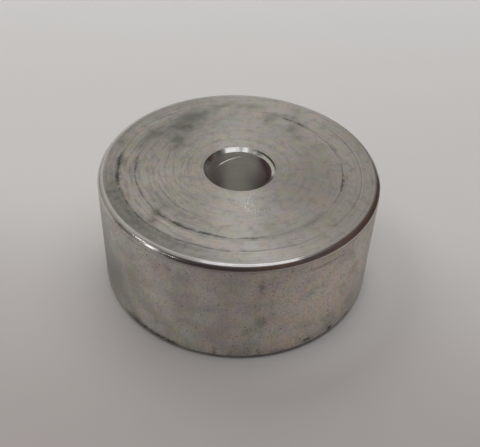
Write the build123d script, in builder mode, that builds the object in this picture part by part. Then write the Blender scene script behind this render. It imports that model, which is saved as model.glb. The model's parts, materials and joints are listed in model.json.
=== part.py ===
"""A short round block of aluminium, turned from bar, with a plain bore right through its axis.

The origin is the centre of the base face, and +Z runs up the bore axis. Lengths are in millimetres.
"""

import math
import os

from build123d import *

# Block
outer_diameter = 70.0
height = 31.0
top_edge_radius = 1.5
base_edge_radius = 1.5

# Through bore, countersunk a little at both mouths
bore_diameter = 16.0
mouth_chamfer_width = 1.0
mouth_chamfer_angle = 50.0  # degrees, between the chamfer and the bore axis

# Witness rings that the tool's stops left in the top face, measured in from the outer wall
outer_ring_inset = 4.6
inner_ring_inset = 9.3
ring_width = 0.4
ring_depth = 0.1

outer_radius = outer_diameter / 2
bore_radius = bore_diameter / 2
mouth_radius = bore_radius + mouth_chamfer_width
mouth_depth = mouth_chamfer_width / math.tan(math.radians(mouth_chamfer_angle))

with BuildPart() as turned_body:
    # Half section from the bore wall to the outer wall, with X as the radius and Y as the level
    with BuildSketch(Plane.XZ) as half_section:
        with BuildLine():
            Polyline(
                (bore_radius, mouth_depth),
                (mouth_radius, 0),
                (outer_radius, 0),
                (outer_radius, height),
                (mouth_radius, height),
                (bore_radius, height - mouth_depth),
                close=True,
            )
        make_face()
        base_corner = half_section.vertices().group_by(Axis.Y)[0].sort_by(Axis.X)[-1]
        fillet(base_corner, radius=base_edge_radius)
        top_corner = half_section.vertices().group_by(Axis.Y)[-1].sort_by(Axis.X)[-1]
        fillet(top_corner, radius=top_edge_radius)
    revolve(axis=Axis.Z)

    # Each ring is a shallow V, turned into the top face
    for ring_inset in (inner_ring_inset, outer_ring_inset):
        ring_radius = outer_radius - ring_inset
        with BuildSketch(Plane.XZ):
            with BuildLine():
                Polyline(
                    (ring_radius - ring_width / 2, height),
                    (ring_radius, height - ring_depth),
                    (ring_radius + ring_width / 2, height),
                    close=True,
                )
            make_face()
        revolve(axis=Axis.Z, mode=Mode.SUBTRACT)

turned_body.part.label = "turned_body"

os.makedirs("parts", exist_ok=True)
export_step(turned_body.part, "parts/turned_body.step")
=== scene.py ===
"""The looks of the turned block: its surfaces and the marks on them, the light round it and the camera.

Lengths are in metres, in the part's own frame: +Z runs up the bore axis from the centre of the base face.
Bearings are in degrees about +Z, from +X towards +Y, so the side that faces the camera is at -90.
The marks are placed one by one: where the photo shows them, with a few like them on the sides it doesn't
show.
"""

import json
import math

import bpy
import numpy as np
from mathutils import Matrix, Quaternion, Vector


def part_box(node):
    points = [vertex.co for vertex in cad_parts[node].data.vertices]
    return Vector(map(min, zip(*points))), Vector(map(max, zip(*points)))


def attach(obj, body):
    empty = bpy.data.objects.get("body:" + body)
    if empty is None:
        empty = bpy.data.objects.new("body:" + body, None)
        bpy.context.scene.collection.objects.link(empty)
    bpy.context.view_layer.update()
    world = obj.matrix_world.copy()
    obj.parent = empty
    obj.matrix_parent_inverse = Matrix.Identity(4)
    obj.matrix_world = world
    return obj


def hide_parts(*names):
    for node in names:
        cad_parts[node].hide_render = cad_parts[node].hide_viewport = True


MM = 0.001

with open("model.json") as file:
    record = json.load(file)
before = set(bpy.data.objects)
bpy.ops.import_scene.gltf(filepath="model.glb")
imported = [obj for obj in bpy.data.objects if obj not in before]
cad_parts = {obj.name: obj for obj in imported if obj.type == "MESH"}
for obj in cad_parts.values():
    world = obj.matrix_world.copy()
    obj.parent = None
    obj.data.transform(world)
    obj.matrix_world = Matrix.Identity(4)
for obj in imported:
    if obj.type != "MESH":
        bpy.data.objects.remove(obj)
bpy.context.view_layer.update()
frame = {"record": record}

# ---------------------------------------------------------------- sizes

node_low, node_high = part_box("turned_body")
bore_mount = next(m for m in frame["record"]["mounts"] if m["name"] == "bore")

OUTER_RADIUS = (node_high.x - node_low.x) / 2
HEIGHT = node_high.z - node_low.z
EDGE_RADIUS = 1.5 * MM

BORE_RADIUS = bore_mount["dims"]["r_mm"] * MM
MOUTH_RADIUS = BORE_RADIUS + 1.0 * MM
MOUTH_DEPTH = (HEIGHT - bore_mount["dims"]["length_mm"] * MM) / 2

RING_RADII = (OUTER_RADIUS - 9.3 * MM, OUTER_RADIUS - 4.6 * MM)
RING_WIDTH = 0.4 * MM
RING_DEPTH = 0.1 * MM

# The mesh: segments round the axis, and how close the guard loops lie that keep each corner crisp
SEGMENTS = 480
GUARD = 0.05 * MM

# The bands at the foot and the head of the wall where the mesh is finer, for the chips and the dirt there
WALL_FOOT = 4 * MM
WALL_HEAD = 26 * MM

# ---------------------------------------------------------------- marks, painted light and shade among them

# Dirt in the witness rings, and in a third line inside them that has hardly any depth,
# as (radius in mm, patches of (bearing, spread either way in degrees, strength))
RING_DIRT = (
    (20.8, ((-128, 20, 0.45),)),
    (25.8, ((-165, 22, 0.52), (-124, 16, 0.80), (-102, 10, 0.62), (-82, 9, 0.60), (-50, 22, 0.22),
            (-10, 13, 0.62), (24, 20, 0.42), (57, 12, 0.80), (112, 30, 0.10), (178, 7, 0.45))),
    (30.0, ((178, 8, 0.85), (-168, 10, 0.70), (-146, 16, 0.55), (-118, 20, 0.40), (-85, 24, 0.45),
            (-40, 30, 0.16), (30, 22, 0.22), (140, 40, 0.08))),
)

# How much of their depth the witness rings keep: a least share, how uneven it is, and patches that keep
# more, as (bearing, spread in degrees, share)
RING_CUT_LEAST = 0.12
RING_CUT_UNEVEN = 0.05
RING_CUT = ((-150, 50, 0.35), (20, 40, 0.22))

# Smudges on the top face, as (radius in mm, bearing, spread in mm out and round, strength)
FACE_SMUDGES = (
    (26.0, 121, 2.6, 4.5, 0.50),
    (26.8, 112, 1.6, 2.2, 0.35),
    (22.0, 128, 2.6, 3.0, 0.45),
    (26.2, 148, 2.2, 3.4, 0.52),
    (23.6, 136, 2.2, 3.4, 0.40),
    (27.0, 160, 1.8, 2.2, 0.50),
    (19.5, 147, 2.2, 3.4, 0.55),
    (32.0, 163, 1.4, 2.4, 0.60),
    (28.4, 99, 1.8, 4.0, 0.50),
    (28.7, 84, 1.4, 3.0, 0.40),
    (24.5, 97, 1.6, 1.6, 0.40),
    (31.0, 61, 1.4, 2.0, 0.30),
    (27.0, 60, 1.6, 2.6, 0.65),
    (24.0, 71, 2.4, 1.4, 0.60),
    (22.7, 54, 2.4, 2.4, 0.50),
    (20.6, 44, 1.6, 1.6, 0.30),
    (22.0, 26, 3.0, 2.0, 0.25),
    (29.0, 178, 0.9, 1.6, 0.60),
    (25.9, -136, 1.2, 1.6, 1.00),
    (28.4, -133, 1.2, 1.2, 0.80),
    (25.6, -117, 0.7, 3.0, 0.70),
    (25.9, -82, 0.5, 0.9, 0.80),
    (25.6, -55, 0.8, 6.0, 0.40),
    (22.5, -72, 2.0, 1.6, 0.30),
    (22.8, -128, 1.4, 7.0, 0.35),
)

# Broad darker bands painted into the top face's colour as painted shade, in the same terms
FACE_SHADE = (
    (31.3, -160, 1.3, 12.0, 1.00),
    (31.1, -134, 1.3, 12.0, 1.15),
    (31.0, -110, 1.1, 7.0, 0.80),
    (33.2, -162, 0.9, 12.0, 0.75),
    (33.1, -136, 0.9, 12.0, 0.90),
    (33.0, -112, 0.9, 7.0, 0.70),
    (32.9, -92, 1.2, 7.0, 0.55),
    (24.0, -90, 8.0, 9.0, 0.26),
    (23.0, -130, 2.0, 9.0, 0.35),
    (25.0, 150, 5.0, 8.0, 0.45),
    (24.8, 125, 4.0, 6.5, 0.75),
    (19.0, 146, 3.0, 3.5, 0.30),
    (30.0, 100, 3.0, 9.0, 0.35),
    (17.0, -140, 4.0, 6.0, 0.25),
    (13.0, 60, 3.0, 5.0, 0.20),
    (17.0, 0, 6.0, 7.0, 0.16),
    (25.0, -68, 4.0, 5.0, 0.38),
    (14.5, -66, 4.0, 4.5, 0.34),
    (27.5, -173, 3.0, 5.0, 0.34),
    (18.0, 92, 9.0, 9.0, 0.28),
    (24.0, 71, 4.0, 3.5, 0.34),
    (22.5, 112, 5.0, 4.0, 0.16),
    (33.0, 124, 1.7, 15.0, 0.42),
    (21.0, 120, 5.0, 8.0, 0.22),
    (31.8, 135, 1.3, 18.0, 0.25),
)

# Paler zones of the top face, in the same terms: the first two, on its right, are painted light
FACE_PALE = (
    (28.0, -4, 4.0, 20.0, 0.55),
    (32.9, -22, 1.6, 18.0, 1.00),
    (27.0, 160, 1.5, 2.0, 0.20),
    (23.0, 154, 1.2, 1.5, 0.40),
)

# A light scuff beside the bore, in the same terms
FACE_SCUFF = ((14.4, -79, 3.0, 1.5, 1.0), (13.0, -88, 2.0, 1.0, 0.4), (17.5, -70, 1.5, 1.2, 0.3))

# Smudges on the outer wall and its rims, as (height in mm, bearing, spread in mm up and round, strength)
WALL_SMUDGES = (
    (2.1, -137, 0.8, 2.2, 0.5),
    (3.2, -133, 1.1, 2.0, 0.4),
    (1.9, -131, 0.7, 2.2, 1.2),
    (1.7, -124, 0.7, 2.6, 1.1),
    (1.6, -116, 0.6, 2.6, 1.1),
    (2.4, -97, 1.4, 0.4, 0.8),
    (1.8, -91, 0.8, 0.4, 0.6),
    (2.2, -80, 1.2, 0.4, 0.6),
    (2.4, -59, 0.7, 1.2, 0.9),
    (2.2, -47, 0.9, 0.9, 0.9),
    (1.6, -36, 0.6, 1.6, 0.7),
    (26.9, -54, 0.30, 5.0, 0.60),
    (26.5, -115, 0.8, 0.8, 0.35),
    (24.5, -80, 2.2, 0.8, 0.5),
    (13.0, -79, 1.4, 1.4, 0.5),
    (30.3, -140, 0.5, 3.0, 0.75),
    (29.6, -133, 0.4, 1.6, 0.35),
    (5.0, 40, 1.6, 3.0, 0.5),
    (26.0, 110, 1.0, 2.0, 0.5),
    (2.0, 150, 0.8, 3.0, 0.8),
)

# Paler zones of the outer wall, in the same terms: the first two, on its right front, are painted light
WALL_PALE = (
    (15.0, -57, 18.0, 10.5, 1.10),
    (22.0, -34, 10.0, 9.0, 0.50),
    (17.0, -125, 5.0, 4.0, 0.45),
    (22.0, -142, 3.0, 3.0, 0.20),
    (5.0, -72, 4.0, 14.0, 0.45),
    (12.0, 70, 9.0, 9.0, 0.60),
    (18.0, 150, 8.0, 7.0, 0.50),
)

# Zones of the outer wall painted darker as painted shade, mostly on its left, in the same terms
WALL_SHADE = (
    (8.0, -156, 9.0, 10.0, 1.05),
    (14.0, -172, 14.0, 6.0, 0.50),
    (20.0, -165, 9.0, 8.0, 0.70),
    (21.0, -134, 5.0, 4.0, 0.30),
    (19.0, -88, 8.0, 5.0, 0.22),
    (13.0, -143, 7.0, 6.0, 0.42),
    (6.0, 110, 5.0, 9.0, 0.50),
)

# Painted shade down the sides of the bore, with a purple-brown tint, in the same terms
BORE_SHADE = (
    (29.4, 26, 1.8, 5.0, 0.62),
    (24.0, 18, 12.0, 2.8, 0.96),
    (22.0, 48, 12.0, 2.6, 0.60),
    (18.0, -8, 12.0, 3.0, 0.70),
    (20.0, 157, 12.0, 3.4, 0.57),
    (19.0, 131, 8.0, 1.8, 0.27),
)

# The band at the foot of the top rim, painted darker as a painted reflection of the dark surroundings, and
# made rougher:
# where it sets in, in degrees down the rim's arc, how far down the wall it fades, and where it lies, as
# (bearing, spread in degrees, strength)
RIM_DULL_SHADE_FROM = 18
RIM_DULL_SHADE_FULL = 34
RIM_DULL_SHADE_FADE = 0.4 * MM
RIM_DULL_SHADE = ((-95, 32, 0.85), (-25, 22, 0.60), (60, 60, 0.5), (150, 30, 0.3), (-165, 28, 0.55))

# A darker line painted along the foot of the wall as painted shade: the level where it is darkest, and its
# spread up and down from there
FOOT_LEVEL = EDGE_RADIUS * 0.7
FOOT_SPREAD = 1.0 * MM

# Small chips in the rims, as (height in mm, bearing, spread in mm up and round, depth in mm)
CHIPS = (
    (1.4, -130, 0.5, 0.80, 0.16),
    (1.1, -124, 0.4, 0.90, 0.14),
    (1.1, -119, 0.4, 0.70, 0.12),
    (1.2, -114, 0.4, 0.80, 0.16),
    (1.6, -59, 0.5, 0.60, 0.14),
    (1.2, -44, 0.5, 0.90, 0.14),
    (30.2, -80.5, 0.3, 0.35, 0.04),
    (29.6, -137, 0.4, 0.90, 0.08),
    (1.2, 70, 0.4, 0.80, 0.12),
    (1.3, 152, 0.5, 0.90, 0.14),
    (30.0, 38, 0.3, 0.40, 0.08),
)

# The line that the boring tool scored in the bore as it was drawn out: a ledge that winds down the wall
# between two bearings, and by a share of that turn past both, where it has faded out
SCORE_BEARINGS = (89.0, 150.0)
SCORE_OVERRUN = 0.2
SCORE_LEVEL = HEIGHT - 2.45 * MM
SCORE_DROP = 2.05 * MM
LEDGE_RISE = 0.10 * MM
LEDGE_DEPTH = 0.18 * MM
LEDGE_REACH = 1.0 * MM

# A radius just outside the widest that the bore is cut, and the level just above the ledge's lead-in
BORE_LIMIT = BORE_RADIUS + LEDGE_DEPTH * 1.01
LEDGE_START = SCORE_LEVEL + LEDGE_RISE + LEDGE_REACH * 1.1

# Marks on the upper bore mouth, as (bearing, spread in degrees, strength): painted shade along its outer
# corner, dark nicks right across it, and scuffed bright spots
MOUTH_OUTLINE = ((30, 34, 1.6), (150, 30, 0.4))
MOUTH_NICKS = ((88.5, 3.2, 0.45), (128, 6, 0.4), (158, 12, 0.4))
MOUTH_SCUFF = ((64, 4.0, 1.0), (33, 3.0, 0.3))

# ---------------------------------------------------------------- the turned section


def straight(start, end, steps, zone):
    """Stations along a straight run of the section, with a guard loop just inside each end."""
    (r0, z0), (r1, z1) = start, end
    share = GUARD / math.hypot(r1 - r0, z1 - z0)
    places = [0.0, share, *np.linspace(0, 1, steps + 1)[1:-1], 1 - share]
    return [(r0 + (r1 - r0) * t, z0 + (z1 - z0) * t, zone) for t in places]


def rounded(centre, start_deg, end_deg, steps, zone):
    """Stations along a rounded rim of the section."""
    radius, level = centre
    angles = np.radians(np.linspace(start_deg, end_deg, steps + 1)[:-1])
    return [(radius + EDGE_RADIUS * math.cos(a), level + EDGE_RADIUS * math.sin(a), zone) for a in angles]


def witness_ring(radius):
    """Stations down and up the shallow V of one witness ring, walked inwards."""
    half = RING_WIDTH / 2
    offsets = ((1.25, 0.0), (1.0, 0.0), (0.75, 0.25), (0.25, 0.75), (0.0, 1.0))
    outer = [(radius + half * o, HEIGHT - RING_DEPTH * d, "face") for o, d in offsets]
    inner = [(radius - half * o, HEIGHT - RING_DEPTH * d, "face") for o, d in reversed(offsets[:-1])]
    return outer + inner


def score_ledge():
    """Stations down over the ledge that the boring tool left: a slow dip into the wall, then a steep step."""
    top = SCORE_LEVEL + LEDGE_RISE
    dip = [(share, 1 - share) for share in (1.0, 0.6, 0.3, 0.1)]
    lead_in = [(BORE_RADIUS + LEDGE_DEPTH * deep, top + LEDGE_REACH * up, "bore") for up, deep in dip]
    lip = (BORE_RADIUS + LEDGE_DEPTH, top, "ledge")
    below = [(BORE_RADIUS, SCORE_LEVEL - drop, "bore") for drop in (0.0, GUARD, GUARD * 4)]
    return [*lead_in, lip, *below]


def section():
    """The closed turned section, as (radius, level, zone): out over the base, up, in over the top, down."""
    rim = OUTER_RADIUS - EDGE_RADIUS
    shoulder = HEIGHT - EDGE_RADIUS
    mouth = HEIGHT - MOUTH_DEPTH
    inner_ring, outer_ring = RING_RADII
    reach = RING_WIDTH * 0.75
    return [
        *straight((BORE_RADIUS, MOUTH_DEPTH), (MOUTH_RADIUS, 0), 2, "mouth"),
        *straight((MOUTH_RADIUS, 0), (rim, 0), 8, "base"),
        *rounded((rim, EDGE_RADIUS), -90, 0, 14, "edge"),
        *straight((OUTER_RADIUS, EDGE_RADIUS), (OUTER_RADIUS, WALL_FOOT), 12, "wall"),
        *straight((OUTER_RADIUS, WALL_FOOT), (OUTER_RADIUS, WALL_HEAD), 20, "wall"),
        *straight((OUTER_RADIUS, WALL_HEAD), (OUTER_RADIUS, shoulder), 14, "wall"),
        *rounded((rim, shoulder), 0, 90, 18, "edge"),
        *straight((rim, HEIGHT), (outer_ring + reach, HEIGHT), 5, "face"),
        *witness_ring(outer_ring),
        *straight((outer_ring - reach, HEIGHT), (inner_ring + reach, HEIGHT), 7, "face"),
        *witness_ring(inner_ring),
        *straight((inner_ring - reach, HEIGHT), (MOUTH_RADIUS, HEIGHT), 22, "face"),
        *straight((MOUTH_RADIUS, HEIGHT), (BORE_RADIUS, mouth), 4, "mouth"),
        *straight((BORE_RADIUS, mouth), (BORE_RADIUS, LEDGE_START), 3, "bore"),
        *score_ledge(),
        *straight((BORE_RADIUS, SCORE_LEVEL - GUARD * 8), (BORE_RADIUS, MOUTH_DEPTH), 14, "bore"),
    ]


# ---------------------------------------------------------------- wear and painted shade in the mesh


def turn_between(bearings, centre):
    """Signed turn in degrees from a centre bearing, between -180 and 180."""
    return (bearings - centre + 180) % 360 - 180


def bump_at(distance, spread):
    """A smooth bump, 1 at no distance and near 0 past twice the spread."""
    return np.exp(-((distance / spread) ** 2))


def waviness(bearings, seed, lobes):
    """Smooth, seeded unevenness round the axis, between about -1 and 1."""
    random = np.random.default_rng(seed)
    total = np.zeros_like(bearings)
    for lobe in range(1, lobes + 1):
        total += np.cos(np.radians(bearings) * lobe + random.uniform(0, math.tau)) / math.sqrt(lobe)
    return total / math.sqrt(lobes)


def patches(bearings, marks):
    """The sum of patches round the axis, each given by its bearing, spread in degrees and strength."""
    return sum(strength * bump_at(turn_between(bearings, at), spread) for at, spread, strength in marks)


def bump_beside(bearings, at, along, place_mm, reach, spread_along_mm, spread_round_mm):
    """A smooth bump on a surface, along its radius or level and round it at a reach from the axis."""
    round_it = np.radians(turn_between(bearings, at)) * reach
    return bump_at(along - place_mm * MM, spread_along_mm * MM) * bump_at(round_it, spread_round_mm * MM)


def smudges(bearings, along, reach, marks):
    """The sum of smudges on a surface, each given by its place, spreads and strength."""
    total = np.zeros_like(along)
    for place, at, spread_along, spread_round, strength in marks:
        total += strength * bump_beside(bearings, at, along, place, reach, spread_along, spread_round)
    return total


def ring_dirt(bearings, radii):
    """The strength of the dirt in the nearest witness ring."""
    rings = np.array([radius * MM for radius, _ in RING_DIRT])
    nearest = np.abs(radii[..., None] - rings).argmin(axis=-1)
    held = np.stack([patches(bearings, marks) + 0 * radii for _, marks in RING_DIRT], axis=-1)
    return np.clip(np.take_along_axis(held, nearest[..., None], axis=-1)[..., 0], 0, 1)


def underside(levels):
    """1 where the lower rim turns in under the block, and 0 above it: where shade is painted on the rim."""
    return np.clip((EDGE_RADIUS * 1.1 - levels) / (EDGE_RADIUS * 0.6), 0, 1)


def wall_dirt_and_shade(bearings, levels):
    """Dirt and painted shade on the outer wall: smudges, and painted shade in an uneven line along the foot
    and under the rim.
    """
    foot = bump_at(levels - FOOT_LEVEL, FOOT_SPREAD) * (0.55 + 0.25 * waviness(bearings, 11, 40))
    marks = smudges(bearings, levels, OUTER_RADIUS, WALL_SMUDGES)
    return marks + np.clip(foot, 0, 1) * 0.2 + underside(levels) * 0.45


def wall_dull_and_shade(bearings, levels):
    """Painted shade on the wall and its rims, which on the rims is also lost shine: the darker zones, the
    band at the foot of the top rim that fades down the wall, and the underside of the lower rim.
    """
    below_rim = np.maximum(HEIGHT - EDGE_RADIUS - levels, 0)
    fall = np.degrees(np.arccos(np.clip((levels - HEIGHT + EDGE_RADIUS) / EDGE_RADIUS, 0, 1)))
    sets_in = np.clip((fall - RIM_DULL_SHADE_FROM) / (RIM_DULL_SHADE_FULL - RIM_DULL_SHADE_FROM), 0, 1)
    run_out = sets_in * bump_at(below_rim, RIM_DULL_SHADE_FADE)
    zones = smudges(bearings, levels, OUTER_RADIUS, WALL_SHADE) * (below_rim > 0)
    return run_out * np.clip(patches(bearings, RIM_DULL_SHADE), 0, 1) + underside(levels) + zones


def mouth_shade_and_nicks(bearings, radii):
    """Painted shade along the outer corner of the upper mouth, and nicks right across it."""
    outward = (radii - BORE_RADIUS) / (MOUTH_RADIUS - BORE_RADIUS)
    corner = np.clip(outward * 2.4 - 1.2, 0, 1)
    return patches(bearings, MOUTH_OUTLINE) * corner + patches(bearings, MOUTH_NICKS)


def wear_and_shade_masks(bearings, radii, levels):
    """The wear and the painted light and shade at each vertex, as named attributes for the materials.

    "ring_dirt" is the dirt in the witness rings and "scuff" scratched metal and the bright cut of the scored
    line.
    One mask holds other dirt with painted shade: in the bore, along the upper mouth's outer corner, along the
    foot of the wall and under the lower rim. One holds darker bands of painted shade, which also make the
    rims rougher, and one paler zones, which are painted light on the right.
    """
    on_top = levels > HEIGHT - RING_DEPTH * 2
    on_flat = on_top & (radii < OUTER_RADIUS - EDGE_RADIUS + GUARD)
    on_wall = (radii > OUTER_RADIUS - EDGE_RADIUS / 2) & ~on_top
    in_mouth = (radii < MOUTH_RADIUS + GUARD / 2) & (levels > HEIGHT - MOUTH_DEPTH - GUARD)
    in_bore = (radii < BORE_LIMIT) & ~in_mouth
    on_ledge = in_bore & (np.abs(levels - SCORE_LEVEL - LEDGE_RISE / 2) < LEDGE_RISE)

    def face(marks):
        return smudges(bearings, radii, radii, marks)

    wall_pale = smudges(bearings, levels, OUTER_RADIUS, WALL_PALE)
    bore_shade = smudges(bearings, levels, BORE_RADIUS, BORE_SHADE)
    mouth_scuff = patches(bearings, MOUTH_SCUFF) + 0 * radii
    return {
        "ring_dirt": np.where(on_top, ring_dirt(bearings, radii), 0),
        "dirt_and_shade": np.select(
            [in_mouth, in_bore, on_top, on_wall],
            [mouth_shade_and_nicks(bearings, radii), bore_shade, face(FACE_SMUDGES), wall_dirt_and_shade(bearings, levels)],
        ),
        "dull_and_shade": np.select([on_flat, on_wall | on_top], [face(FACE_SHADE), wall_dull_and_shade(bearings, levels)]),
        "pale": np.select([on_top, on_wall], [face(FACE_PALE), wall_pale]),
        "scuff": np.select([in_mouth, on_top, on_ledge], [mouth_scuff, face(FACE_SCUFF), 1.0]),
    }


def shallower_rings(bearings, radii, levels):
    """The levels, with the witness rings turned as shallow as they are in each place."""
    in_ring = (levels > HEIGHT - RING_DEPTH * 1.01) & (levels < HEIGHT - 1e-7) & (radii > MOUTH_RADIUS + MM)
    depth = RING_CUT_LEAST + patches(bearings, RING_CUT) + RING_CUT_UNEVEN * waviness(bearings, 3, 7)
    return np.where(in_ring, HEIGHT - (HEIGHT - levels) * depth, levels)


def chipped(bearings, radii, levels):
    """The radii, with the chips in the rims knocked in."""
    outer = radii > OUTER_RADIUS - EDGE_RADIUS * 1.001
    for level, at, spread_up, spread_round, depth in CHIPS:
        dent = depth * MM * bump_beside(bearings, at, levels, level, OUTER_RADIUS, spread_up, spread_round)
        radii = radii - np.where(outer, dent, 0)
    return radii


def score_drop(bearings):
    """How far the scored line has wound down at each bearing, eased back to its start where it is unseen."""
    first, last = SCORE_BEARINGS
    turn = last - first
    lead = 20
    onward = (bearings - first + lead) % 360 - lead
    share = np.clip(onward / turn, -SCORE_OVERRUN, 1 + SCORE_OVERRUN)
    unseen = 360 - lead - turn * (1 + SCORE_OVERRUN * 2)
    back = np.clip((onward - turn * (1 + SCORE_OVERRUN)) / unseen, 0, 1)
    return SCORE_DROP * (share * (1 - back) - SCORE_OVERRUN * back)


def scored(bearings, radii, levels):
    """The radii and levels, with the ledge in the bore wound down the wall and faded out at its ends."""
    mouth = HEIGHT - MOUTH_DEPTH
    in_bore = (radii < BORE_LIMIT) & (levels < mouth)
    over = np.clip((mouth - levels) / (mouth - SCORE_LEVEL - LEDGE_RISE - LEDGE_REACH), 0, 1)
    under = np.clip((levels - MOUTH_DEPTH) / (SCORE_LEVEL - GUARD * 9 - MOUTH_DEPTH), 0, 1)
    levels = levels - np.where(in_bore, np.minimum(over, under) * score_drop(bearings), 0)

    first, last = SCORE_BEARINGS
    onward = turn_between(bearings, first) / (last - first)
    fade = np.clip(onward / 0.04, 0, 1) * np.clip((1 - onward) / 0.5, 0, 1)
    return np.where(in_bore, BORE_RADIUS + (radii - BORE_RADIUS) * fade, radii), levels


def worn(bearings, radii, levels):
    """The turned surface with its wear: shallow rings, chips in the rims and the scored line in the bore."""
    levels = shallower_rings(bearings, radii, levels)
    radii = chipped(bearings, radii, levels)
    return scored(bearings, radii, levels)


def lathe(name, stations, materials):
    """One closed mesh turned from the section, with a material for each zone and the wear as attributes."""
    station_radii, station_levels, station_zones = zip(*stations)
    bearings = np.arange(SEGMENTS)[:, None] * 360 / SEGMENTS + np.zeros(len(stations))
    radii = np.zeros_like(bearings) + station_radii
    levels = np.zeros_like(bearings) + station_levels

    masks = wear_and_shade_masks(bearings, radii, levels)
    radii, levels = worn(bearings, radii, levels)
    angle = np.radians(bearings)
    points = np.stack([radii * np.cos(angle), radii * np.sin(angle), levels], axis=-1).reshape(-1, 3)

    rows = len(stations)
    here = np.arange(SEGMENTS)[:, None] * rows + np.arange(rows)
    ahead = np.roll(here, -1, axis=0)
    corners = [here, ahead, np.roll(ahead, -1, axis=1), np.roll(here, -1, axis=1)]
    faces = np.stack(corners, axis=-1).reshape(-1, 4)

    mesh = bpy.data.meshes.new(name)
    mesh.from_pydata(points.tolist(), [], faces.tolist())
    for material in materials.values():
        mesh.materials.append(material)
    slots = [list(materials).index(zone) for zone in station_zones]
    smooth = [zone != "ledge" for zone in station_zones]
    mesh.polygons.foreach_set("material_index", np.tile(slots, SEGMENTS))
    mesh.polygons.foreach_set("use_smooth", np.tile(smooth, SEGMENTS))
    for mask, values in masks.items():
        mesh.attributes.new(mask, "FLOAT", "POINT").data.foreach_set("value", values.ravel())
    mesh.update()
    piece = bpy.data.objects.new(name, mesh)
    bpy.context.scene.collection.objects.link(piece)
    return piece


# ---------------------------------------------------------------- materials


class Nodes:
    """A node tree, with short ways to add the nodes used here."""

    def __init__(self, tree):
        self.tree = tree

    def add(self, kind, **settings):
        """A new node with these settings."""
        node = self.tree.nodes.new(kind)
        for key, value in settings.items():
            setattr(node, key, value)
        return node

    def feed(self, socket, value):
        """Links an output to a socket, or sets the socket to a plain value."""
        if isinstance(value, bpy.types.NodeSocket):
            self.tree.links.new(value, socket)
        else:
            socket.default_value = value

    def math(self, operation, *values, clamp=False):
        """The result of one sum on these values."""
        node = self.add("ShaderNodeMath", operation=operation, use_clamp=clamp)
        for socket, value in zip(node.inputs, values):
            self.feed(socket, value)
        return node.outputs[0]

    def vector(self, operation, *values, scale=None):
        """The result of one vector sum on these vectors."""
        node = self.add("ShaderNodeVectorMath", operation=operation)
        for socket, value in zip(node.inputs, values):
            self.feed(socket, value)
        if scale is not None:
            node.inputs["Scale"].default_value = scale
        return node.outputs["Value" if operation == "LENGTH" else "Vector"]

    def parts(self, vector):
        """The three parts of a vector."""
        node = self.add("ShaderNodeSeparateXYZ")
        self.feed(node.inputs[0], vector)
        return node.outputs

    def remap(self, value, low, high, to_low=0.0, to_high=1.0):
        """A smooth step of a value from one range into another."""
        node = self.add("ShaderNodeMapRange", interpolation_type="SMOOTHSTEP")
        given = {"Value": value, "From Min": low, "From Max": high, "To Min": to_low, "To Max": to_high}
        for name, setting in given.items():
            self.feed(node.inputs[name], setting)
        return node.outputs["Result"]

    def mix(self, share, first, second, blend="MIX"):
        """A colour between two colours, or the blend of both."""
        node = self.add("ShaderNodeMix", data_type="RGBA", blend_type=blend)
        sockets = (node.inputs[0], node.inputs[6], node.inputs[7])
        for socket, value in zip(sockets, (share, first, second)):
            self.feed(socket, value)
        return node.outputs[2]

    def fade(self, colour, other, value, low, high, strength=1.0):
        """A colour that goes over into another, up to a strength, as a value runs from low to high."""
        return self.mix(self.remap(value, low, high, 0.0, strength), colour, other)

    def tinted(self, colour, cloud, tints):
        """A colour under a thin film that drifts between two tints."""
        return self.mix(1.0, colour, self.fade(*tints, cloud, 0.34, 0.66), blend="MULTIPLY")

    def times(self, *factors, clamp=False):
        """The product of two or more values."""
        first, *others = factors
        for other in others[:-1]:
            first = self.math("MULTIPLY", first, other)
        return self.math("MULTIPLY", first, others[-1], clamp=clamp)

    def total(self, base, *shares):
        """A base value and a share of each of some values, given as (value, share)."""
        for value, share in shares:
            base = self.math("ADD", self.times(value, share), base)
        return base


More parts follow.
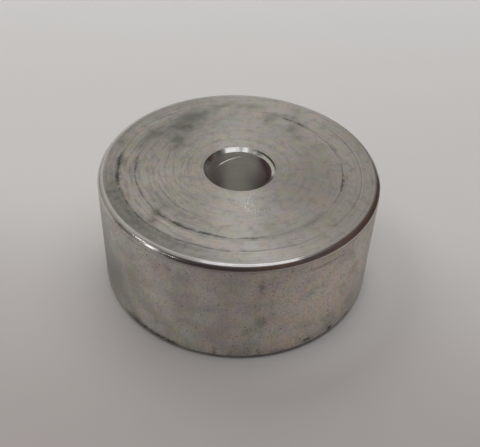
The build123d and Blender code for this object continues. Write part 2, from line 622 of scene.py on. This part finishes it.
class Shader(Nodes):
    """A material under one principled shader, a metal unless it is told otherwise."""

    def __init__(self, name, roughness, anisotropic=0.0, metallic=1.0, specular=0.5):
        self.material = bpy.data.materials.new(name)
        self.material.use_nodes = True
        super().__init__(self.material.node_tree)
        self.surface = self.tree.nodes["Principled BSDF"]
        self.surface.inputs["Metallic"].default_value = metallic
        self.surface.inputs["Specular IOR Level"].default_value = specular
        self.surface.inputs["Roughness"].default_value = roughness
        self.surface.inputs["Anisotropic"].default_value = anisotropic
        place = self.add("ShaderNodeTexCoord").outputs["Object"]
        self.place_mm = self.vector("SCALE", place, scale=1 / MM)

    def noise(self, size_mm, detail=3.0, stretch=(1, 1, 1), seed=0.0, rough=0.5):
        """Cloudy noise with features of about this size, drawn out along an axis where stretch is over 1."""
        place = self.vector("MULTIPLY", self.place_mm, tuple(1 / (size_mm * s) for s in stretch))
        place = self.vector("ADD", place, (seed, seed, seed))
        return self.noise_at("3D", "Vector", place, detail, rough)

    def noise_at(self, dimensions, socket, place, detail, rough):
        """Noise at a place that has already been brought to the noise's own size."""
        node = self.add("ShaderNodeTexNoise", noise_dimensions=dimensions)
        self.feed(node.inputs[socket], place)
        for name, value in (("Scale", 1.0), ("Detail", detail), ("Roughness", rough)):
            node.inputs[name].default_value = value
        return node.outputs["Fac"]

    def tool_lines(self, along_mm, pitch_mm, detail=2.0, seed=0.0):
        """Uneven lines at about this pitch, along one coordinate in mm."""
        place = self.math("ADD", self.math("DIVIDE", along_mm, pitch_mm), seed)
        return self.noise_at("1D", "W", place, detail, 0.6)

    def radius_mm(self):
        """Distance from the axis, in mm."""
        return self.vector("LENGTH", self.vector("MULTIPLY", self.place_mm, (1, 1, 0)))

    def level_mm(self):
        """Height over the base, in mm."""
        return self.parts(self.place_mm)["Z"]

    def arcs(self, pitch_mm, turns, detail=3.0, seed=0.0):
        """Uneven streaks that run round the axis: lines of about this pitch, broken a few times a turn."""
        round_it = self.vector("NORMALIZE", self.vector("MULTIPLY", self.place_mm, (1, 1, 0)))
        out_from_it = self.add("ShaderNodeCombineXYZ")
        self.feed(out_from_it.inputs["Z"], self.math("DIVIDE", self.radius_mm(), pitch_mm))
        place = self.vector("ADD", self.vector("SCALE", round_it, scale=turns), out_from_it.outputs[0])
        place = self.vector("ADD", place, (seed, seed, seed))
        return self.noise_at("3D", "Vector", place, detail, 0.55)

    def mask(self, name):
        """One of the mesh's wear attributes."""
        return self.add("ShaderNodeAttribute", attribute_name=name).outputs["Fac"]

    def dirt_and_shade(self, breakup_mm, seed=0.0):
        """The mesh's dirt and painted shade, broken up by noise."""
        cloud = self.noise(breakup_mm, detail=5.0, seed=seed, rough=0.65)
        return self.times(self.mask("dirt_and_shade"), self.remap(cloud, 0.32, 0.66, 0.3, 1.2), clamp=True)

    def line_at(self, along_mm, place_mm, width_mm):
        """A soft line, 1 at the place and 0 a width away."""
        away = self.math("ABSOLUTE", self.math("SUBTRACT", along_mm, place_mm))
        return self.remap(away, width_mm, 0.0)

    def bump(self, height, depth_mm, normal=None):
        """Raises the surface by a height between 0 and 1 times a depth."""
        node = self.add("ShaderNodeBump")
        node.inputs["Distance"].default_value = depth_mm * MM
        self.feed(node.inputs["Height"], height)
        if normal is not None:
            self.feed(node.inputs["Normal"], normal)
        return node.outputs["Normal"]

    def finish(self, colour, roughness, normal=None):
        """Feeds the surface, and returns the material."""
        self.feed(self.surface.inputs["Base Color"], colour)
        self.feed(self.surface.inputs["Roughness"], roughness)
        if normal is not None:
            self.feed(self.surface.inputs["Normal"], normal)
        return self.material

    def spread_across_lines(self):
        """Reflections spread across the tool lines, which run round the axis."""
        tangent = self.add("ShaderNodeTangent", direction_type="RADIAL", axis="Z")
        self.feed(self.surface.inputs["Tangent"], tangent.outputs[0])
        self.surface.inputs["Anisotropic Rotation"].default_value = 0.25


def grey(level, warmth=0.0):
    """A grey, a little warm or cool."""
    return (level * (1 + warmth), level, level * (1 - warmth), 1.0)


# Each kind of surface drifts between two shades of the metal
FACED_METAL = ((0.735, 0.695, 0.662, 1.0), (0.82, 0.775, 0.738, 1.0))
DRAWN_METAL = ((0.59, 0.58, 0.557, 1.0), (0.745, 0.73, 0.70, 1.0))
POLISHED_METAL = ((0.785, 0.75, 0.73, 1.0), (0.87, 0.84, 0.82, 1.0))
CUT_METAL = ((0.82, 0.81, 0.765, 1.0), (0.96, 0.95, 0.91, 1.0))
BORED_METAL = ((1.0, 1.0, 0.91, 1.0), (1.0, 0.955, 0.93, 1.0))

# What pales or scratches the metal; the pale colours also stand for painted light on the right
PALE_FACE = (0.95, 0.90, 0.85, 1.0)
PALE_WALL = (0.91, 0.85, 0.785, 1.0)
SCRATCHED_FACE = (1.0, 0.98, 0.95, 1.0)
SCUFFED_MOUTH = (0.95, 0.94, 0.92, 1.0)

# What dulls or soils it, and the darker colours that stand for painted shade
DULL_AND_SHADE = (0.30, 0.30, 0.28, 1.0)
RIM_SHADE = (0.34, 0.31, 0.30, 1.0)
DULL_BORE = grey(0.6, 0.01)
BORE_SHADE_COLOUR = (0.225, 0.15, 0.165, 1.0)
DIRT_AND_SHADE = (0.085, 0.083, 0.078, 1.0)
THIN_DIRT = (0.21, 0.22, 0.19, 1.0)
RING_EDGE_DIRT = (0.26, 0.25, 0.24, 1.0)
RING_DEEP_DIRT = (0.12, 0.115, 0.115, 1.0)
SPECK = (0.27, 0.235, 0.24, 1.0)
FLECK = (0.22, 0.20, 0.195, 1.0)

# Pairs of tints that thin oxide lays over the metal
GREEN_TO_ROSE = ((0.957, 1.01, 0.965, 1.0), (1.043, 0.97, 1.0, 1.0))
STEEL_TO_STRAW = ((0.98, 0.99, 1.04, 1.0), (1.02, 1.005, 0.895, 1.0))


def ring_lines(shader, radius, colour, seed):
    """The colour with the rings' dirt: a ragged dark core in a soft edge, thicker where more is held."""
    held = shader.mask("ring_dirt")
    wobble = shader.times(shader.math("SUBTRACT", shader.arcs(40.0, 3.0, seed=seed + 1), 0.5), 1.6)
    ragged = shader.math("SUBTRACT", shader.noise(0.8, detail=4.0, seed=seed + 29, rough=0.7), 0.5)
    ragged = shader.times(ragged, shader.remap(held, 0.3, 0.9, 0.2, 1.5))
    wandering = shader.math("ADD", shader.math("ADD", radius, wobble), ragged)

    core = halo = 0.0
    core_width = shader.remap(held, 0.2, 0.9, 0.30, 0.52)
    for ring, _ in RING_DIRT:
        core = shader.math("MAXIMUM", core, shader.line_at(wandering, ring, core_width))
        halo = shader.math("MAXIMUM", halo, shader.line_at(wandering, ring, 1.1))

    gaps = shader.noise(1.6, detail=4.0, seed=seed + 17, rough=0.65)
    broken = shader.remap(gaps, 0.36, 0.54, 0.30, 1.15)
    halo = shader.times(halo, shader.remap(held, 0.3, 1.0, 0.0, 0.6), broken)
    core = shader.times(core, held, broken, clamp=True)
    colour = shader.mix(halo, colour, RING_EDGE_DIRT)
    return shader.mix(core, colour, RING_DEEP_DIRT)


def crossed_scratches(shader, seed):
    """Short bright scratches that lie both ways across the scuff."""
    along = shader.noise(0.30, detail=1.0, stretch=(1, 9, 1), seed=seed + 19)
    across = shader.noise(0.30, detail=1.0, stretch=(7, 1, 1), seed=seed + 23)
    scratches = shader.remap(shader.math("MAXIMUM", along, across), 0.52, 0.66)
    return shader.times(shader.mask("scuff"), scratches, clamp=True)


def turned_face(name, seed):
    """A faced end: uneven tool lines round the axis, blotched oxide, dirt in the rings and a light scuff."""
    shader = Shader(name, roughness=0.34, anisotropic=0.69)
    shader.spread_across_lines()
    radius = shader.radius_mm()
    fine = shader.tool_lines(radius, 0.25, seed=seed)
    broad = shader.tool_lines(radius, 1.7, detail=3.0, seed=seed + 7)
    arcs = shader.arcs(0.7, 5.0, detail=4.0, seed=seed + 11)
    cloud = shader.noise(10.0, detail=3.0, seed=seed)
    mottle = shader.noise(2.6, detail=6.0, seed=seed + 2, rough=0.65)
    grain = shader.noise(0.5, detail=2.0, seed=seed + 5)
    tint = shader.noise(4.4, detail=5.0, seed=seed + 3, rough=0.66)
    stain = shader.noise(3.4, detail=5.0, seed=seed + 13, rough=0.66)
    dirt_and_shade = shader.dirt_and_shade(3.6, seed=seed)
    left = shader.remap(shader.parts(shader.place_mm)["X"], -2, -18)

    colour = shader.fade(*FACED_METAL, cloud, 0.3, 0.7)
    colour = shader.tinted(colour, tint, GREEN_TO_ROSE)
    colour = shader.tinted(colour, stain, STEEL_TO_STRAW)
    # The paler zones, painted light on the right of the face
    colour = shader.mix(shader.mask("pale"), colour, PALE_FACE)
    colour = shader.fade(colour, DULL_AND_SHADE, mottle, 0.54, 0.28, 0.35)
    colour = shader.fade(colour, DULL_AND_SHADE, arcs, 0.56, 0.34, shader.remap(left, 0, 1, 0.14, 0.40))
    colour = shader.fade(colour, DULL_AND_SHADE, broad, 0.5, 0.25, 0.14)
    colour = shader.fade(colour, DULL_AND_SHADE, grain, 0.50, 0.30, shader.remap(left, 0, 1, 0.15, 0.22))
    # The broad darker bands of the top face, painted shade
    dull_and_shade = shader.times(shader.mask("dull_and_shade"), shader.remap(mottle, 0.25, 0.60, 0.95, 0.55))
    colour = shader.mix(dull_and_shade, colour, DULL_AND_SHADE)
    colour = shader.mix(dirt_and_shade, colour, THIN_DIRT)
    colour = ring_lines(shader, radius, colour, seed)
    scuffed = crossed_scratches(shader, seed)
    colour = shader.mix(scuffed, colour, SCRATCHED_FACE)

    roughness = shader.total(0.26, (fine, 0.10), (mottle, 0.14), (dirt_and_shade, 0.10), (scuffed, 0.15))
    normal = shader.bump(fine, 0.004)
    normal = shader.bump(broad, 0.012, normal)
    normal = shader.bump(mottle, 0.012, normal)
    return shader.finish(colour, roughness, normal)


def bar_wall(name):
    """The skin of the drawn bar: satin, blotched and flecked, faintly streaked along the axis."""
    shader = Shader(name, roughness=0.50)
    blotch = shader.noise(6.0, detail=4.0, seed=21, rough=0.6)
    mottle = shader.noise(1.8, detail=5.0, seed=23, rough=0.65)
    streak = shader.noise(0.6, detail=3.0, stretch=(1, 1, 5), seed=4)
    specks = shader.noise(0.36, detail=2.0, seed=43)
    fleck = shader.noise(0.55, detail=1.0, seed=13)
    sparse = shader.noise(5.0, detail=2.0, seed=33)
    tint = shader.noise(4.6, detail=4.0, seed=17, rough=0.6)
    stain = shader.noise(3.8, detail=4.0, seed=37, rough=0.6)
    dirt_and_shade = shader.dirt_and_shade(0.9, seed=2)

    colour = shader.fade(*DRAWN_METAL, blotch, 0.3, 0.7)
    # The paler zones, painted light on the right front of the wall
    pale = shader.times(shader.mask("pale"), shader.remap(blotch, 0.30, 0.60, 0.40, 1.0), clamp=True)
    colour = shader.mix(pale, colour, PALE_WALL)
    colour = shader.tinted(colour, tint, GREEN_TO_ROSE)
    colour = shader.tinted(colour, stain, STEEL_TO_STRAW)
    colour = shader.fade(colour, DULL_AND_SHADE, blotch, 0.52, 0.30, 0.14)
    colour = shader.fade(colour, DULL_AND_SHADE, mottle, 0.54, 0.28, 0.10)
    colour = shader.fade(colour, DULL_AND_SHADE, streak, 0.50, 0.72, 0.15)
    colour = shader.fade(colour, SPECK, specks, 0.53, 0.66, 0.42)
    flecks = shader.times(shader.remap(fleck, 0.65, 0.74), shader.remap(sparse, 0.42, 0.62, 0.15, 1.0))
    colour = shader.mix(flecks, colour, FLECK)
    # Painted shade: the darker zones, mostly on the left, and where the rim bands fade down the wall
    colour = shader.mix(shader.times(shader.mask("dull_and_shade"), 0.7), colour, DULL_AND_SHADE)
    # Dirt, with painted shade along the foot and under the lower rim
    colour = shader.mix(dirt_and_shade, colour, DIRT_AND_SHADE)

    roughness = shader.total(0.42, (blotch, 0.16), (dirt_and_shade, 0.15))
    normal = shader.bump(streak, 0.010)
    normal = shader.bump(mottle, 0.015, normal)
    normal = shader.bump(fleck, 0.008, normal)
    return shader.finish(colour, roughness, normal)


def polished_edge(name):
    """The rims, filed round and polished on the lathe: bright, but painted darker and made rougher in the
    band at the foot of the top rim and under the lower rim.
    """
    shader = Shader(name, roughness=0.12, anisotropic=0.3)
    shader.spread_across_lines()
    across = shader.math("SUBTRACT", shader.level_mm(), shader.radius_mm())
    lines = shader.tool_lines(across, 0.12, seed=3)
    haze = shader.noise(2.5, detail=3.0, seed=9)
    wave = shader.noise(3.0, detail=1.0, seed=31)
    dull_and_shade = shader.mask("dull_and_shade")

    colour = shader.fade(*POLISHED_METAL, haze, 0.35, 0.7)
    # Painted shade and reflection: the band at the foot of the top rim, the underside of the lower rim, the
    # darker zones
    colour = shader.mix(dull_and_shade, colour, RIM_SHADE)
    # Dirt, with painted shade under the lower rim
    colour = shader.mix(shader.dirt_and_shade(0.8, seed=5), colour, DIRT_AND_SHADE)

    roughness = shader.total(0.05, (lines, 0.08), (haze, 0.05), (dull_and_shade, 0.15))
    normal = shader.bump(lines, 0.0015)
    normal = shader.bump(wave, 0.008, normal)
    return shader.finish(colour, roughness, normal)


def mouth_chamfer(name):
    """The countersunk bore mouths: freshly cut and bright."""
    shader = Shader(name, roughness=0.18, anisotropic=0.5)
    shader.spread_across_lines()
    lines = shader.tool_lines(shader.level_mm(), 0.10, seed=8)
    haze = shader.noise(1.6, detail=2.0, seed=12)
    scuff = shader.times(shader.mask("scuff"), shader.remap(shader.noise(0.35, seed=41), 0.35, 0.6))

    colour = shader.fade(*CUT_METAL, haze, 0.35, 0.7)
    colour = shader.mix(scuff, colour, SCUFFED_MOUTH)
    # Painted shade along the outer corner, and the dark nicks
    colour = shader.mix(shader.mask("dirt_and_shade"), colour, DIRT_AND_SHADE)
    roughness = shader.total(0.08, (lines, 0.14), (scuff, 0.34))
    return shader.finish(colour, roughness, shader.bump(lines, 0.004))


def bored_wall(name):
    """The bore: bored smooth, with fine lines round it, painted shade with a purple-brown tint down its sides
    and a glossy cut on the ledge.
    """
    shader = Shader(name, roughness=0.60, anisotropic=0.95, metallic=0.74)
    shader.spread_across_lines()
    level = shader.level_mm()
    fine = shader.tool_lines(level, 0.18, seed=5)
    band = shader.tool_lines(level, 1.4, seed=6)
    oxide = shader.noise(2.6, detail=3.0, seed=14)

    colour = shader.fade(*BORED_METAL, oxide, 0.35, 0.7)
    colour = shader.fade(colour, DULL_BORE, band, 0.4, 0.7, 0.10)
    # Painted shade down the sides of the bore
    colour = shader.mix(shader.mask("dirt_and_shade"), colour, BORE_SHADE_COLOUR)
    roughness = shader.total(0.66, (fine, 0.12), (shader.mask("scuff"), -0.56))
    return shader.finish(colour, roughness, shader.bump(fine, 0.003))


def paper_floor(name):
    """A pale sheet with a faint unevenness, which is painted darker and warmer towards the camera, as painted
    shade.

    Close to the block, in front and to the right, it is painted lighter for the camera alone, as painted
    light for the light that the wall throws back on to it.
    """
    shader = Shader(name, roughness=0.9, metallic=0.0, specular=0.2)
    mottle = shader.noise(30.0, detail=3.0, seed=1)
    grain = shader.noise(0.8, detail=2.0, seed=2)
    right, away, _ = shader.parts(shader.place_mm)

    front, middle, back = (0.51, 0.467, 0.455, 1.0), (0.77, 0.745, 0.725, 1.0), (0.86, 0.855, 0.84, 1.0)
    # Painted shade: darker towards the camera
    colour = shader.fade(front, middle, away, -70, 25)
    colour = shader.fade(colour, back, away, 40, 220)
    # Painted shadow over the front left
    front_left = shader.times(shader.remap(right, 0, -60), shader.remap(away, 40, -20))
    colour = shader.mix(shader.times(front_left, 0.35), colour, front)
    colour = shader.fade(colour, (0.7, 0.68, 0.66, 1.0), mottle, 0.3, 0.7, 0.05)

    # Painted light, seen by the camera alone, close to the block in front and to the right
    front_right = shader.times(shader.remap(right, -26, 32), shader.remap(away, 25, -5))
    close = shader.remap(shader.radius_mm(), 49, 35, 0.0, 0.64)
    seen = shader.add("ShaderNodeLightPath").outputs["Is Camera Ray"]
    colour = shader.mix(shader.times(front_right, close, seen), colour, (1.0, 0.97, 0.95, 1.0))
    return shader.finish(colour, shader.total(0.85, (mottle, 0.05)), shader.bump(grain, 0.01))


# ---------------------------------------------------------------- stage, light and camera


def heading(azimuth_deg, elevation_deg):
    """A direction, with azimuth 0 away from the camera and 90 to its right."""
    a, e = math.radians(azimuth_deg), math.radians(elevation_deg)
    return Vector((math.sin(a) * math.cos(e), math.cos(a) * math.cos(e), math.sin(e)))


def turn(thing, level, roll_deg):
    """Turns an object from its level stance by a roll about its own axis of view."""
    thing.rotation_mode = "QUATERNION"
    thing.rotation_quaternion = level @ Quaternion((0, 0, 1), math.radians(roll_deg))


def softbox(name, azimuth, elevation, distance, width, height, radiance, roll=0.0, floor_only=False):
    """An area light that faces the block, with its head tipped to the left by a roll.

    Its radiance is such that 1 looks white. The metal doesn't mirror a light that is for the floor only.
    """
    light = bpy.data.lights.new(name, "AREA")
    light.shape = "RECTANGLE"
    light.size = width
    light.size_y = height
    light.energy = radiance * math.pi * width * height
    lamp = bpy.data.objects.new(name, light)
    lamp.location = heading(azimuth, elevation) * distance
    turn(lamp, heading(azimuth, elevation).to_track_quat("Z", "Y"), roll)
    lamp.visible_camera = False
    lamp.visible_glossy = not floor_only
    bpy.context.scene.collection.objects.link(lamp)


def sheet(name, corners, faces, material):
    """A flat or bent sheet that only stands round the object."""
    mesh = bpy.data.meshes.new(name)
    mesh.from_pydata(corners, [], faces)
    mesh.materials.append(material)
    card = bpy.data.objects.new(name, mesh)
    bpy.context.scene.collection.objects.link(card)
    return card


def floor(material, reach=4.0):
    """The sheet that the block stands on."""
    corners = [(-reach, -reach, 0), (reach, -reach, 0), (reach, reach, 0), (-reach, reach, 0)]
    sheet("floor", corners, [(0, 1, 2, 3)], material)


def ceiling_panel(corners, height, radiance):
    """The bright panel overhead, which widens towards the camera."""
    material = bpy.data.materials.new("panel_light")
    material.use_nodes = True
    surface = material.node_tree.nodes["Principled BSDF"]
    surface.inputs["Base Color"].default_value = (0, 0, 0, 1)
    surface.inputs["Emission Color"].default_value = (0.99, 1.0, 1.03, 1)
    surface.inputs["Emission Strength"].default_value = radiance
    panel = sheet("ceiling_panel", [(x, y, height) for x, y in corners], [(3, 2, 1, 0)], material)
    panel.visible_camera = False


def brown_card(name):
    """Dark card, patched with brown."""
    shader = Shader(name, roughness=1.0, metallic=0.0, specular=0.0)
    patch = shader.noise(70.0, detail=1.0, stretch=(1, 1, 2), seed=6)
    dark, brown = (0.165, 0.138, 0.143, 1.0), (0.235, 0.150, 0.122, 1.0)
    return shader.finish(shader.fade(dark, brown, patch, 0.42, 0.60), 1.0)


def flag(name, from_azimuth, to_azimuth, distance, top, material):
    """A dark card bent round the block, which only shows in the metal."""
    steps = 24
    foot = [heading(a, 0) * distance for a in np.linspace(from_azimuth, to_azimuth, steps + 1)]
    head = [p + Vector((0, 0, top)) for p in foot]
    panes = [(i, i + 1, steps + 2 + i, steps + 1 + i) for i in range(steps)]
    card = sheet(name, foot + head, panes, material)
    card.visible_camera = False
    card.visible_diffuse = False
    card.visible_shadow = False


def room(dim, walls, ceiling, ceiling_edge, backdrop):
    """A dim room with pale walls, each between two soft azimuth edges, under a ceiling with a soft edge.

    The camera itself sees a plain backdrop, which lights nothing.
    """
    world = bpy.data.worlds.new("room")
    world.use_nodes = True
    sky = Nodes(world.node_tree)
    right, away, up = sky.parts(sky.add("ShaderNodeTexCoord").outputs["Generated"])
    azimuth = sky.math("DEGREES", sky.math("ARCTAN2", right, away))
    elevation = sky.math("DEGREES", sky.math("ARCSINE", up))
    colour = sky.fade(dim, ceiling, elevation, *ceiling_edge)
    for (left_low, left_high), (right_low, right_high), paint in walls:
        past_left = sky.remap(azimuth, left_low, left_high)
        before_right = sky.remap(azimuth, right_high, right_low)
        colour = sky.mix(sky.times(past_left, before_right), colour, paint)
    seen = sky.add("ShaderNodeLightPath").outputs["Is Camera Ray"]
    colour = sky.mix(seen, colour, backdrop)
    sky.feed(world.node_tree.nodes["Background"].inputs["Color"], colour)
    bpy.context.scene.world = world


def camera(eye_mm, aim_mm, roll_deg, lens):
    """A camera held at the eye and turned to the aim, tipped by a small roll."""
    data = bpy.data.cameras.new("camera")
    data.lens = lens
    data.sensor_width = 36.0
    data.clip_start = 0.01
    holder = bpy.data.objects.new("camera", data)
    eye, aim = Vector(eye_mm) * MM, Vector(aim_mm) * MM
    holder.location = eye
    turn(holder, (aim - eye).to_track_quat("-Z", "Y"), roll_deg)
    bpy.context.scene.collection.objects.link(holder)
    bpy.context.scene.camera = holder


# ---------------------------------------------------------------- build

bore = bored_wall("bored_wall")
block = lathe(
    "turned_block",
    section(),
    {
        "face": turned_face("turned_face", seed=0.0),
        "edge": polished_edge("polished_edge"),
        "wall": bar_wall("bar_wall"),
        "mouth": mouth_chamfer("mouth_chamfer"),
        "bore": bore,
        "ledge": bore,
        "base": turned_face("turned_base", seed=40.0),
    },
)
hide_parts("turned_body")
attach(block, "root")

floor(paper_floor("pale_paper"))
room(
    dim=grey(0.10, 0.05),
    walls=(((-100, -84), (-2, 22), (0.375, 0.362, 0.325, 1)), ((-60, -30), (-4, 22), grey(0.42, 0.03))),
    ceiling=grey(0.44, 0.02),
    ceiling_edge=(46, 66),
    backdrop=grey(0.55, 0.02),
)
ceiling_panel(
    [(-0.06, 0.76), (0.055, 0.76), (0.695, -0.50), (-0.318, -0.50)],
    height=1.0,
    radiance=0.93,
)

# The three lamps that glint in the polished rim, from left to right, then the soft fills
softbox("left_lamp", -100.2, 37, distance=0.70, width=0.022, height=0.16, radiance=5.8)
softbox("side_lamp", -115.4, 26, distance=0.70, width=0.084, height=0.38, radiance=1.95, roll=12)
softbox("right_lamp", -132.6, 25, distance=0.70, width=0.010, height=0.05, radiance=40.0)
softbox("side_glow", -114, 14, distance=0.72, width=0.32, height=0.26, radiance=0.20)
softbox("floor_light", -20, 76, distance=1.0, width=1.5, height=1.3, radiance=1.08, floor_only=True)
flag("front_flag", 55, 222, distance=0.10, top=0.11, material=brown_card("brown_card"))
camera(eye_mm=(0.0, -147.601, 143.29), aim_mm=(0.767, 14.347, 0.0), roll_deg=2.5435, lens=55.836)

bpy.context.scene.view_settings.view_transform = "Standard"
